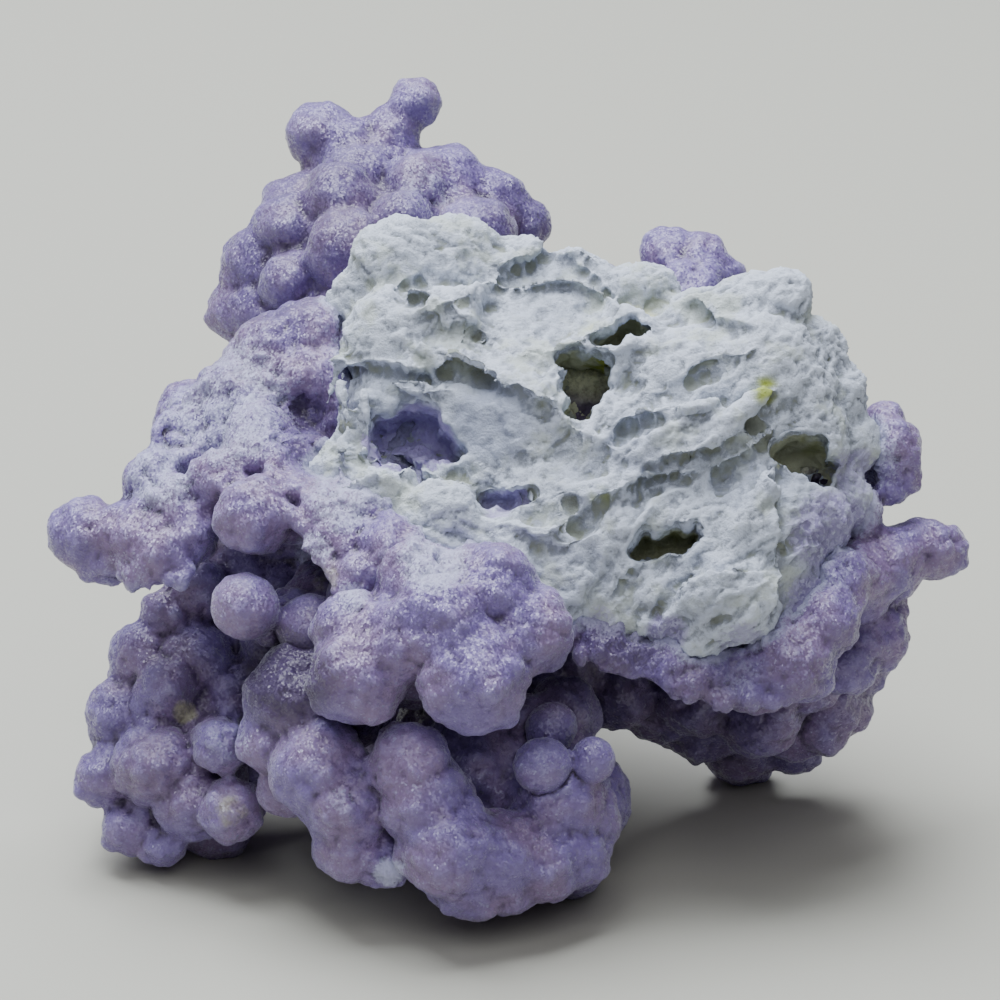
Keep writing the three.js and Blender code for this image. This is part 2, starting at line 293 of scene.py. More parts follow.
stoneFinish = {
    "deep": (0.05, 0.03, 0.085, 1),
    "body": (0.178, 0.128, 0.34, 1),
    "rosy": (0.22, 0.145, 0.295, 1),
    "pale": (0.30, 0.262, 0.50, 1),
    "frost": (0.44, 0.45, 0.64, 1),
    "ochre": (0.33, 0.32, 0.20, 1),
    # olive stain behind the holes, made pale as painted light
    "murk": (0.64, 0.66, 0.42, 1),
    "moss": (0.30, 0.31, 0.18, 1),
    "roughness": (0.3, 0.62),
    "facetSize": 0.12,  # sugary crystals, in mm
    "facetTurn": 0.7,
    "grainSize": 0.09,
    "grainDepth": 0.00003,
    "glow": 0.25,  # subsurface share
    "glowDepth": 0.0009,
    "edgeGlow": 0.35,
}

rockFinish = {
    "white": (0.60, 0.65, 0.77, 1),
    "grey": (0.30, 0.325, 0.39, 1),
    "olive": (0.27, 0.29, 0.19, 1),
    "green": (0.52, 0.565, 0.52, 1),
    "moss": (0.64, 0.66, 0.43, 1),
    "dusk": (0.30, 0.33, 0.45, 1),
    "lime": (0.34, 0.40, 0.03, 1),
    "dark": (0.05, 0.048, 0.03, 1),
    "purple": (0.24, 0.195, 0.41, 1),
    "violet": (0.42, 0.36, 0.64, 1),
    "crystal": (0.52, 0.52, 0.72, 1),
    "crystalSize": 0.2,
    "roughness": 0.92,
    "grainSize": 0.2,
    "grainDepth": 0.00016,
}


def stoneMaterial():
    graph = Paint("purple_chalcedony")
    look = stoneFinish
    spot = graph.spot()
    relief = graph.painted("relief")  # 0.5 where it is flat, less in seams, more on tops
    tint = graph.clouds(spot, 4.5, 2.0)
    mottle = graph.clouds(spot, 0.9, 5.0, 0.7)
    sugar = graph.cells(spot, look["facetSize"], output="Color")
    colour = graph.mix(graph.span(tint, 0.4, 0.62), look["body"], look["rosy"])
    # painted shade: towards deep purple in the seams where the relief is low, with mottled tone
    depth = graph.span(relief * 1.4 + mottle * 0.5, 0.45, 1.0)
    colour = graph.mix(depth, look["deep"], colour)
    # paler on proud tops and edges: partly pale frost, partly painted highlight
    paleness = graph.span(relief * 1.1 + mottle * 0.6 + sugar * 0.4, 0.95, 1.5)
    colour = graph.mix(paleness * 0.55, colour, look["pale"])
    frosting = graph.span(graph.painted("frost") + (mottle - 0.5) * 0.8 + (sugar - 0.5) * 0.4, 0.3, 0.9)
    colour = graph.mix(frosting * 0.85, colour, look["frost"])
    # painted glints: the odd crystal is painted pale as if it caught the light
    sparkle = graph.span(sugar, 0.8, 0.92) * graph.span(relief + mottle, 0.8, 1.15)
    colour = graph.mix(sparkle * 0.4, colour, look["frost"])
    # painted highlight on proud edges, in the frost colour
    edge = graph.span(relief + (mottle - 0.5) * 0.5, 0.8, 1.05)
    colour = graph.mix(edge * 0.25, colour, look["frost"])
    # the stone seen through the holes gets an olive stain, painted pale to stand in for light on the hole
    # walls
    stain = graph.mix(graph.span(mottle, 0.4, 0.6), look["moss"], look["murk"])
    colour = graph.mix(graph.painted("murk"), colour, stain)
    # painted shade: in the dents, low in the holes and in given spots, some of them deeper purple tone
    colour = graph.mix(graph.painted("shade"), colour, look["deep"])
    ochre = graph.span(graph.painted("ochre") + (mottle - 0.5) * 1.2, 0.4, 1.0)
    colour = graph.mix(ochre * 0.8, colour, look["ochre"])
    # each sugary crystal tips the surface its own way
    tipped = graph.vector("SUBTRACT", sugar, (0.5, 0.5, 0.5))
    upright = graph.node("ShaderNodeNewGeometry", output="Normal")
    turned = graph.vector("MULTIPLY_ADD", tipped, (look["facetTurn"],) * 3, upright)
    bumped = graph.node("ShaderNodeBump", None, {
        "Strength": 0.7,
        "Distance": look["grainDepth"],
        "Height": graph.clouds(spot, look["grainSize"], 2.0, 0.7),
        "Normal": graph.vector("NORMALIZE", turned),
    })
    smooth, dull = look["roughness"]
    return graph.finish({
        "Base Color": colour,
        "Roughness": smooth + graph.span(frosting + mottle, 0.3, 1.2) * (dull - smooth),
        "Normal": bumped,
        "IOR": 1.54,
        "Subsurface Weight": look["glow"],
        "Subsurface Radius": (0.9, 0.8, 1.0),
        "Subsurface Scale": look["glowDepth"],
        "Sheen Weight": look["edgeGlow"],
        "Sheen Roughness": 0.35,
        "Sheen Tint": (0.86, 0.88, 1.0, 1),
    })


def rockMaterial():
    graph = Paint("white_host_rock")
    look = rockFinish
    spot = graph.spot()
    relief = graph.painted("relief")
    mottle = graph.clouds(spot, 0.9, 5.0, 0.65)
    stain = graph.clouds(spot, 3.2, 3.0, 0.6)
    grain = graph.clouds(spot, look["grainSize"], 3.0, 0.75)
    # greyer where the skin lies low: painted shade in the creases, with random tone
    height = relief + (mottle - 0.5) * 0.5 + (grain - 0.5) * 0.5
    colour = graph.mix(graph.span(height, 0.26, 0.6), look["grey"], look["white"])
    greening = graph.span(stain + (mottle - 0.5) * 0.4, 0.5, 0.66)
    colour = graph.mix(greening * 0.7, colour, look["green"])
    # dark olive in the hollows: painted shade
    hollow = graph.span(relief + (stain - 0.5) * 0.5 + (mottle - 0.5) * 0.3, 0.32, 0.08)
    colour = graph.mix(hollow * 0.6, colour, look["olive"])
    # bluish-grey painted shade in the given spots
    dusk = graph.span(graph.painted("dusk") + (mottle - 0.5) * 0.8, 0.15, 0.9)
    colour = graph.mix(dusk * 0.8, colour, look["dusk"])
    # olive stain on the hole walls, painted pale to stand in for light that barely reaches in
    colour = graph.mix(graph.painted("moss"), colour, look["moss"])
    colour = graph.mix(graph.painted("lime"), colour, look["lime"])
    # painted shade deep in the holes and around the pits
    colour = graph.mix(graph.painted("dark"), colour, look["dark"])
    # purple crystal along the margin and in the caves, with pale facets that are partly whitish crystal and
    # partly painted glints
    sugar = graph.cells(spot, look["crystalSize"], output="Color")
    pale = graph.span(sugar * 0.6 + mottle, 0.7, 1.1)
    purple = graph.painted("purple") + (mottle - 0.5) * 0.9 + (sugar - 0.5) * 0.3
    margin = graph.mix(pale * 0.8, look["purple"], look["crystal"])
    colour = graph.mix(graph.span(purple, 0.35, 0.85), colour, margin)
    lining = graph.mix(pale * 0.5, look["violet"], look["crystal"])
    colour = graph.mix(graph.painted("violet"), colour, lining)
    bumped = graph.node("ShaderNodeBump", None, {
        "Strength": 0.8,
        "Distance": look["grainDepth"],
        "Height": grain + mottle * 1.5,
    })
    return graph.finish({
        "Base Color": colour,
        "Roughness": look["roughness"],
        "Normal": bumped,
        "Subsurface Weight": 0.06,
        "Subsurface Radius": (1.0, 1.0, 1.0),
        "Subsurface Scale": 0.0004,
    })


# shapes: each ball is (centre, half-sizes, turn, subdivisions), and overlapping balls fuse into one skin

def grape(centre, size, chance, detail=3):
    stretch = Vector([size * (1 + chance.uniform(-0.06, 0.05)) for _ in range(3)])
    turn = Vector([chance.uniform(0, math.tau) for _ in range(3)])
    return centre, stretch, turn, detail


# low knobs that stud a large grape
def buds(centre, size, chance, count, share):
    made = []
    for i in range(count):
        rise = 1 - 2 * (i + chance.uniform(0.2, 0.8)) / count
        ring = math.sqrt(max(1 - rise * rise, 0))
        turn = i * math.pi * (3 - math.sqrt(5)) + chance.uniform(-0.4, 0.4)
        side = Vector((ring * math.cos(turn), ring * math.sin(turn), rise))
        bud = size * chance.uniform(*share)
        made.append(grape(centre + side * (size * 1.1 - bud), bud, chance))
    return made


# an egg-shaped mass that lies along the picture plane, turned in it
def egg(centre, half, turn=0.0, detail=3):
    lean = Matrix.Rotation(-tilt, 3, "X") @ Matrix.Rotation(-math.radians(turn), 3, "Y")
    stretch = Vector((half[0], half[2], half[1]))
    return toFrame(*centre), stretch, Vector(lean.to_euler()), detail


# grapes over the sides of a core that the listed grapes leave bare
def spreadRows(core, firstSerial):
    rows = []
    count = core["spread"]
    smallest, sizeRange = 1.7, 1.1
    for i in range(count):
        up = 1 - 2 * (i + 0.5) / count
        ring = math.sqrt(1 - up * up)
        turn = i * math.pi * (3 - math.sqrt(5)) + firstSerial
        back = ring * math.sin(turn)
        if not core.get("allRound") and back <= -0.25 and up >= -0.6:
            continue
        offset = (ring * math.cos(turn), up, back)
        spot = [core["centre"][k] + offset[k] * core["half"][k] for k in range(3)]
        # sizes scattered between 0 and 1, the same in each run
        share = abs(math.sin((firstSerial + i) * 12.9898 + 4.1) * 43758.5453) % 1
        rows.append((*spot, smallest + sizeRange * share))
    return rows


# small pointed crystals along an edge
def teeth(fringe, chance):
    made = []
    line = fringe["line"]
    for i in range(fringe["count"]):
        along = (i + chance.uniform(0.1, 0.9)) / fringe["count"] * (len(line) - 1)
        first = int(along)
        start, end = Vector(line[first]), Vector(line[first + 1])
        size = chance.uniform(*fringe["size"])
        turn = fringe["turn"] + chance.uniform(-35, 35)
        middle = start.lerp(end, along - first) + Vector([chance.uniform(-0.25, 0.25) for _ in range(3)])
        made.append(egg(middle, (size * 1.5, size * 0.8, size * 0.8), turn, detail=2))
    return made


def ballTree():
    graph = Shaper("ball_on_each_point")
    kinds = []
    wanted = graph.painted("detail")
    for detail in (2, 3, 4):
        ball = graph.node("GeometryNodeMeshIcoSphere", None, {"Radius": 1.0, "Subdivisions": detail})
        chosen = wanted.maths("COMPARE", wanted, float(detail), 0.1)
        kinds.append(graph.node("GeometryNodeInstanceOnPoints", None, {
            "Points": graph.shape,
            "Selection": chosen,
            "Instance": ball,
            "Rotation": graph.painted("turn", "FLOAT_VECTOR"),
            "Scale": graph.painted("stretch", "FLOAT_VECTOR"),
        }))
    joined = graph.node("GeometryNodeJoinGeometry", None, {"Geometry": kinds})
    graph.shape = graph.node("GeometryNodeRealizeInstances", None, {"Geometry": joined})
    return graph.finish()


# puts what the modifiers make into the mesh
def bake(piece):
    depsgraph = bpy.context.evaluated_depsgraph_get()
    result = bpy.data.meshes.new_from_object(piece.evaluated_get(depsgraph))
    piece.modifiers.clear()
    piece.data = result


def addRemesh(piece, voxel):
    remesh = piece.modifiers.new("fuse", "REMESH")
    remesh.mode = "VOXEL"
    remesh.voxel_size = voxel


def addShaper(piece, tree):
    piece.modifiers.new(tree.name, "NODES").node_group = tree


def addSoften(piece, rounds):
    soften = piece.modifiers.new("soften", "SMOOTH")
    soften.factor = 0.5
    soften.iterations = rounds


def fused(name, balls, voxel, rounds):
    bm = bmesh.new()
    stretchLayer = bm.verts.layers.float_vector.new("stretch")
    turnLayer = bm.verts.layers.float_vector.new("turn")
    detailLayer = bm.verts.layers.float.new("detail")
    for centre, stretch, turn, detail in balls:
        vert = bm.verts.new(centre)
        vert[stretchLayer], vert[turnLayer], vert[detailLayer] = stretch, turn, detail
    piece = addMesh(name, bm)
    addShaper(piece, ballShaper)
    addRemesh(piece, voxel)
    addSoften(piece, rounds)
    bake(piece)
    return piece


def pointsOf(mesh):
    flat = np.empty(len(mesh.vertices) * 3)
    mesh.vertices.foreach_get("co", flat)
    return flat.reshape(-1, 3)


def normalsOf(mesh):
    flat = np.empty(len(mesh.vertices) * 3)
    mesh.vertex_normals.foreach_get("vector", flat)
    return flat.reshape(-1, 3)


# 1 where the skin faces the eye, 0 on its side, -1 where it faces away
def facingOf(mesh):
    return normalsOf(mesh) @ towardsEye


def paint(piece, name, values):
    layer = piece.data.attributes.new(name, "FLOAT", "POINT")
    layer.data.foreach_set("value", np.ascontiguousarray(values, dtype=np.float32))


# how strongly each point lies in any of the round spots (across, up, radius, strength)
def inSpots(across, up, spots):
    strongest = np.zeros_like(across)
    for a, b, size, strength in spots:
        strongest = np.maximum(strongest, strength * ease(size, 0.4 * size, np.hypot(across - a, up - b)))
    return strongest


# distance to a line in the picture plane, and on which side of it, from 1 on its left to -1
def sideOf(across, up, line):
    nearest = np.full_like(across, np.inf)
    side = np.zeros_like(across)
    for (a, b), (a2, b2) in zip(line, line[1:]):
        length = math.hypot(a2 - a, b2 - b)
        da, db = (a2 - a) / length, (b2 - b) / length
        along = np.clip((across - a) * da + (up - b) * db, 0, length)
        gap = np.hypot(across - a - along * da, up - b - along * db)
        left = (up - b) * da - (across - a) * db
        closer = gap < nearest
        side = np.where(closer, left / np.maximum(gap, 1e-6), side)
        nearest = np.where(closer, gap, nearest)
    return nearest, np.clip(side, -1, 1)


def triangles(piece):
    return sum(len(face.vertices) - 2 for face in piece.data.polygons)


def inMetres(piece, node, material):
    piece.data.transform(Matrix.Scale(metresPerMm, 4))
    piece.data.polygons.foreach_set("use_smooth", [True] * len(piece.data.polygons))
    piece.data.materials.clear()
    piece.data.materials.append(material)
    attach(piece, "root")
    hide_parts(node)
    print("  ", piece.name, "triangles", triangles(piece))


print("camera, light and floor")
makeCamera()
makeLights()
makeFloor()
stone = stoneMaterial()
rock = rockMaterial()
ballShaper = ballTree()

# the white crust: lumps [across, up, back, radius], folds and holes

crust = {
    "coarseVoxel": 0.2,
    "voxel": 0.188,
    "lumpStretch": (1.4, 1.35, 1.05),
    "sheetSize": 3.0,  # torn sheets
    "sheetHeight": 1.5,
    "flakeSize": 1.1,
    "flakeHeight": 0.55,
    "crumbSize": 0.45,
    "crumbHeight": 0.12,
    "knobSize": 0.8,  # crystals in the caves
    "knobHeight": 0.4,
    "grainStretch": 2.2,  # sheets run along the folds
    "raggedness": 0.22,  # how far torn edges wander
    "lumps": [
        (-8.2, 12.2, -1, 1.6), (-6.0, 14.0, -1, 2.4), (-2.7, 14.2, 0, 2.4), (0.7, 13.1, 0, 2.2),
        (4.5, 12.7, 0, 2.0), (8.4, 11.9, -1, 2.0), (12.0, 10.1, -3, 2.2), (15.1, 10.9, -4, 2.3),
        (16.9, 12.2, -5, 1.4), (18.4, 8.6, -4, 2.0), (19.8, 6.2, -4, 1.8), (20.7, 3.4, -4, 1.6),
        (20.2, 0.2, -5, 1.7),
        (-6.0, 9.6, -3, 2.7), (-3.6, 9.0, -3, 3.0), (0.0, 9.0, -3.5, 3.0), (3.6, 9.3, -4, 3.0),
        (7.2, 7.8, -4, 3.0), (11.4, 6.3, -5, 3.3), (15.6, 6.9, -5.5, 3.3), (-6.0, 6.0, -4, 2.4),
        (-2.4, 4.8, -5, 2.7), (1.8, 4.2, -6, 3.0), (6.0, 3.0, -6, 3.0), (10.2, 2.4, -7, 3.0),
        (14.4, 2.4, -7, 3.0), (17.6, 3.6, -6, 2.5), (18.3, -1.2, -7, 2.1),
        (15.6, -2.4, -8.5, 3.0), (11.4, -2.4, -8, 3.0), (7.2, -1.8, -8, 2.9), (3.0, -0.6, -7.5, 2.7),
        (-1.2, 1.2, -6, 2.4), (-3.6, -1.8, -9, 2.2), (0.0, -3.6, -9, 2.4), (3.6, -4.8, -9, 2.3),
        (6.6, -6.0, -8.5, 2.0), (9.9, -6.0, -9, 2.2), (13.8, -5.8, -10.5, 2.3), (12.3, -7.6, -10, 1.5),
        (17.0, -5.2, -8, 2.0), (-7.2, 0.0, -8, 1.8), (-9.3, 1.8, -6, 1.7),
    ],
    # middle, half-length, half-width, turn in degrees
    "folds": [
        ((-3.0, 11.0, -5.6), 3.2, 0.8, -32), ((-7.6, 8.4, -4.6), 3.0, 0.8, -48),
        ((-1.6, 8.2, -6.2), 3.6, 0.8, -20), ((2.2, 6.0, -8.2), 2.8, 0.8, -38),
        ((-3.4, 6.4, -7.0), 3.4, 0.7, -12), ((8.6, 6.0, -7.6), 3.4, 0.9, 38),
        ((9.8, 4.0, -9.4), 4.0, 0.9, 30), ((13.4, 8.6, -7.6), 3.2, 0.8, 48),
        ((13.6, 4.6, -9.6), 3.6, 0.8, 36), ((14.6, -1.4, -10.8), 4.2, 0.9, 62),
        ((5.6, 0.6, -9.8), 4.4, 0.8, 14), ((2.8, -2.2, -10.6), 3.8, 0.8, -14),
    ],
    # outline of each mouth in the picture plane, and how deep it goes
    "holes": [
        ([(3.2, 8.6), (4.3, 9.4), (5.4, 9.0), (6.8, 8.6), (6.6, 7.0), (5.6, 5.5), (5.7, 4.9),
          (3.5, 5.0), (4.3, 6.4), (3.4, 7.0), (4.0, 7.9)], 6.5),
        ([(5.3, 9.7), (7.0, 10.7), (7.7, 11.1), (9.1, 10.5), (8.9, 10.0), (7.6, 9.7), (7.0, 9.2),
          (6.1, 9.4)], 5),
        ([(7.6, -3.2), (8.6, -1.7), (9.4, -1.9), (10.5, -1.4), (11.2, -1.7), (11.9, -1.0),
          (12.2, -2.3), (11.1, -3.2), (10.3, -2.9), (9.1, -3.6)], 5),
        ([(16.7, 3.3), (17.9, 4.0), (19.4, 3.8), (19.6, 2.5), (20.5, 2.5), (19.7, 1.1),
          (19.2, 0.5), (18.2, 1.5), (16.7, 2.8)], 4.5),
        ([(-7.6, 5.0), (-5.7, 5.6), (-4.7, 6.0), (-3.6, 5.4), (-3.6, 4.7), (-1.7, 2.8),
          (-2.5, 2.3), (-5.0, 2.4), (-7.4, 2.5)], 4.5),
        ([(-1.4, -0.4), (-1.1, 0.4), (2.2, 0.7), (1.9, 0.2), (-0.2, -0.4)], 2.5),
    ],
    "sinkLean": 33,  # degrees below level at which the holes go in
    # across, up, radius and strength of purple crystal inside the caves
    "purpleSpots": [
        (-5.2, 3.2, 3.8, 1.0), (0.4, -0.2, 2.6, 0.6), (-8.8, 3.4, 1.8, 0.8),
    ],
    # the same for places in bluish-grey painted shade, on faces turned from the light and below steps
    "greyShadeSpots": [
        (-0.6, 4.8, 3.8, 0.75), (8.4, 3.4, 3.6, 0.5), (-6.2, 6.4, 2.8, 0.5), (12.0, -5.4, 3.6, 0.45),
        (5.0, -4.6, 3.4, 0.4), (14.6, 1.0, 3.0, 0.45), (18.0, 1.4, 3.4, 0.5), (5.0, 0.8, 3.0, 0.35),
        (-3.6, 9.8, 2.4, 0.3), (12.6, 6.2, 2.4, 0.35), (3.4, 14.2, 2.4, 0.35),
        (2.6, 12.0, 3.6, 0.35),
    ],
    # and for the whitish-purple crystalline margin
    "crystalSpots": [
        (20.2, -2.0, 4.6, 0.75), (19.2, -6.4, 3.4, 0.8), (21.4, 1.6, 2.6, 0.65), (14.5, -8.8, 2.6, 0.6),
        (10.0, -8.0, 2.0, 0.75), (6.0, -7.6, 2.0, 0.6), (-9.5, 0.2, 2.6, 0.5), (-10.4, 9.6, 2.2, 0.5),
    ],
    # fibres that hang beside the wide cave: middle, half-length, half-width, turn
    "strands": [
        ((-9.6, 5.6, -5.9), 2.6, 0.34, 86), ((-9.2, 4.4, -6.6), 2.4, 0.36, 95),
        ((-8.5, 4.6, -6.5), 2.3, 0.32, 82), ((-8.0, 4.4, -6.8), 2.4, 0.36, 91),
        ((-9.3, 2.4, -7.8), 1.3, 0.3, 102), ((-8.2, 2.5, -7.8), 1.3, 0.3, 84),
        ((-7.6, 2.0, -7.8), 1.0, 0.3, 70), ((-8.8, 1.7, -7.4), 1.2, 0.6, 20),
        ((-9.9, 7.2, -5.0), 1.8, 0.4, 72),
    ],
    # flat places: middle [across, up], half-sizes, turn, how deep they lie; the skin is calm inside
    "facets": [
        ((2.7, 12.0), (4.3, 2.7), 14, 1.2), ((-1.9, 4.7), (2.6, 1.7), -30, 0.2),
        ((0.7, 7.6), (2.6, 1.1), -38, 0), ((11.4, 0.8), (2.0, 1.1), 34, 0),
        ((10.2, 8.2), (2.2, 1.2), 22, 0), ((14.4, 10.2), (1.8, 1.5), 40, 0),
        ((-6.8, 7.9), (2.0, 0.9), -10, 0), ((6.4, -3.2), (2.2, 1.3), -24, 0),
        ((17.0, 7.4), (1.7, 1.2), -40, 0), ((-3.8, 13.9), (2.4, 1.0), 14, 0),
        ((-5.3, 12.4), (1.3, 0.75), 38, 1.0),
    ],
    # steps: the skin is high on the left of each line of [across, up] and low on its right;
    # each row holds the line, how high it stands and how far that reaches
    "steps": [
        ([(-1.7, 9.7), (-1.3, 11.3), (-0.5, 12.6), (0.6, 13.9), (2.6, 14.9)], 0.6, 0.9),
        ([(4.4, 14.3), (5.5, 13.6), (6.3, 12.7), (6.8, 11.7)], 0.4, 0.7),
        ([(-9.9, 8.0), (-7.7, 8.2), (-6.0, 7.7), (-4.7, 7.5), (-2.9, 8.3), (-1.6, 8.1), (0.5, 6.9),
          (2.9, 5.7)], 0.75, 1.0),
        ([(9.0, 2.1), (11.4, 2.9), (14.6, 3.7)], 0.6, 0.9),
        ([(13.0, 1.8), (15.0, 2.9), (16.4, 3.9)], 0.5, 0.7),
        ([(3.6, -1.8), (6.0, 0.0), (8.9, 1.3), (11.6, 1.6)], 0.55, 1.0),
        ([(16.4, -6.6), (16.9, -3.6), (16.6, 0.2), (16.4, 1.2)], 0.6, 1.0),
        ([(9.6, -6.9), (10.6, -5.2), (12.4, -4.3), (14.6, -4.1)], -0.5, 0.9),
        ([(-9.6, 0.9), (-7.2, 1.5), (-4.4, 1.9), (-2.0, 1.3)], -0.6, 0.8),
        ([(11.6, 11.9), (13.2, 10.8), (15.2, 10.2)], 0.45, 0.9),
        ([(-4.9, 10.9), (-2.3, 11.9), (-0.3, 12.2)], 0.35, 0.7),
        ([(7.2, 4.6), (9.6, 5.2), (12.2, 5.4)], 0.45, 0.8),
        ([(7.0, -5.4), (8.0, -3.8), (9.0, -3.6)], 0.4, 0.8),
    ],
    # thin blades that stand up along each line, with their height and half-width
    "blades": [
        ([(3.2, 5.5), (4.2, 4.5), (5.4, 3.8), (6.9, 3.1)], 0.5, 0.3),
        ([(17.9, 1.4), (19.2, 0.1), (20.4, -1.2)], 0.45, 0.3),
        ([(8.4, -1.3), (10.0, 0.4), (12.2, 1.3)], 0.4, 0.4),
        ([(9.2, 9.3), (7.4, 9.1), (6.6, 9.0)], 0.4, 0.4),
    ],
    # small pits, longer along the folds: across, up, size, depth
    "pitStretch": (2.3, 0.6),
    "pits": [
        (12.4, 7.7, 0.35, 0.7), (15.1, 4.3, 0.4, 0.8), (13.4, 5.9, 0.3, 0.5), (7.3, 4.1, 0.35, 0.7),
        (8.6, 4.4, 0.4, 0.7), (9.8, 4.6, 0.35, 0.7), (10.9, 4.4, 0.35, 0.7), (11.3, -4.4, 0.4, 0.8),
        (12.8, -7.4, 0.4, 0.8), (5.7, 12.0, 0.45, 0.7), (18.4, -2.4, 0.5, 1.0),
        (4.4, -0.1, 0.4, 0.5), (10.3, -3.9, 0.4, 0.6), (13.6, 1.2, 0.3, 0.5), (9.3, -6.6, 0.6, 0.9),
        (-1.3, 10.0, 0.6, 1.4), (6.9, 11.4, 0.5, 0.9), (2.6, 14.6, 0.4, 0.6),
    ],
    # across, up, radius and strength of yellow-green stains, on the skin and in the holes
    "limeSpots": [(15.9, 6.6, 1.1, 0.9), (6.0, 0.2, 0.9, 0.45), (-9.6, 8.9, 0.9, 0.35)],
    "limeInside": [(5.9, 8.0, 1.3, 0.9), (18.6, 3.2, 0.9, 0.4), (10.6, -2.0, 0.8, 0.4)],
}


# where a point lies in an oval: 0 in its middle, 1 on its edge
def inOval(across, up, middle, half, turn):
    bend = math.radians(turn)
    da, db = across - middle[0], up - middle[1]
    along = da * math.cos(bend) + db * math.sin(bend)
    over = db * math.cos(bend) - da * math.sin(bend)
    return np.hypot(along / half[0], over / half[1])


# whether a point lies inside an outline, and how far from its edge
def inOutline(across, up, outline):
    inside = np.zeros(across.shape, bool)
    nearest = np.full_like(across, np.inf)
    for (a, b), (a2, b2) in zip(outline, outline[1:] + outline[:1]):
        crosses = (b > up) != (b2 > up)
        meets = a + (up - b) * (a2 - a) / ((b2 - b) or 1e-9)
        inside ^= crosses & (across < meets)
        nearest = np.minimum(nearest, sideOf(across, up, [(a, b), (a2, b2)])[0])
    return np.where(inside, nearest, -nearest)


# a smooth shift of each point, which wanders over the given size
def wandering(points, size, amount):
    return np.array([noise.noise_vector(Vector(point) / size) for point in points]) * amount


# which way the folds run, in degrees: they fan out to the right
def foldTurn(across, up):
    return -32 + 66 * ease(1, 10, across + 0.25 * up)


# how far back each point of a patch has to go to lie in the patch's own plane
def flattening(across, up, back, share):
    flatness, furthest = 0.85, 1.5
    chosen = share > 0.5
    table = np.c_[across, up, np.ones(len(across))]
    plane = np.linalg.lstsq(table[chosen], back[chosen], rcond=None)[0]
    return share * np.clip(flatness * (table @ plane - back), -furthest, furthest)


def carveCrust(piece):
    mesh = piece.data
    points = pointsOf(mesh)
    facing = ease(0.0, 0.45, facingOf(mesh))
    ragged = wandering(points, 0.7, crust["raggedness"]) + wandering(points, 0.3, 0.6 * crust["raggedness"])
    across, up, back = toSight(points + ragged)
    moves = np.zeros_like(points)
    lean = math.radians(crust["sinkLean"])
    for outline, deep in crust["holes"]:
        share = ease(-0.05, 0.3, inOutline(across, up, outline)) * ease(0.0, 0.15, facing)
        moves += np.array((0, math.cos(lean), -math.sin(lean))) * (deep * share)[:, None]
    for middle, half, turn, deep in crust["facets"]:
        share = ease(1.1, 0.85, inOval(across, up, middle, half, turn)) * ease(0, 0.3, facing)
        moves -= towardsEye * (flattening(across, up, back, share) + share * deep)[:, None]
    height = np.zeros(len(points))
    for line, high, reach in crust["steps"]:
        gap, side = sideOf(across, up, line)
        height += high * side * np.exp(-gap / reach)
    for line, high, wide in crust["blades"]:
        gap = sideOf(across, up, line)[0]
        height += high * np.exp(-(gap / wide) ** 2)
    torn = wandering(points, 0.9, 0.7) + wandering(points, 0.4, 0.35)
    for a, b, size, deep in crust["pits"]:
        half = [share * size for share in crust["pitStretch"]]
        gap = inOval(across + torn[:, 0], up + torn[:, 1], (a, b), half, foldTurn(a, b))
        height -= deep * np.exp(-gap ** 2)
    moves += normalsOf(mesh) * (height * facing)[:, None]
    mesh.vertices.foreach_set("co", (points + moves).ravel())


# a map of the picture plane, in mm, that notes how far back the uncarved skin lies
skinMap = {"lowest": -30, "cellSize": 0.3, "cells": 200, "empty": 50.0}


def cellsOf(across, up):
    return tuple(((axis - skinMap["lowest"]) / skinMap["cellSize"]).astype(int) for axis in (across, up))


# how far each point lies behind the skin as it was before carving, near the mouths of the holes
def holeDepth(points, before):
    nearest = np.full((skinMap["cells"], skinMap["cells"]), skinMap["empty"])
    across, up, back = toSight(before)
    np.minimum.at(nearest, cellsOf(across, up), back)
    across, up, back = toSight(points)
    depth = back - nearest[cellsOf(across, up)]
    near = np.zeros(len(points))
    for outline, _ in crust["holes"]:
        near = np.maximum(near, ease(-1.1, -0.5, inOutline(across, up, outline)))
    return np.clip(depth, 0, 8) * near


# where chips and crumbs are laid out: stretched along the folds
def paintGrain(piece):
    points = pointsOf(piece.data)
    across, up, back = toSight(points)
    turn = np.radians(foldTurn(across, up))
    along = across * np.cos(turn) + up * np.sin(turn)
    over = up * np.cos(turn) - across * np.sin(turn)
    layer = piece.data.attributes.new("grain", "FLOAT_VECTOR", "POINT")
    grain = np.c_[along / crust["grainStretch"], over, back].astype(np.float32)
    layer.data.foreach_set("vector", grain.ravel())
    calm = np.ones(len(points))
    for middle, half, turn, _ in crust["facets"]:
        calm = np.minimum(calm, 1 - 0.75 * ease(1.1, 0.7, inOval(across, up, middle, half, turn)))
    paint(piece, "calm", calm)
    paint(piece, "cave", ease(0.3, 0.8, inSpots(across, up, crust["purpleSpots"])))


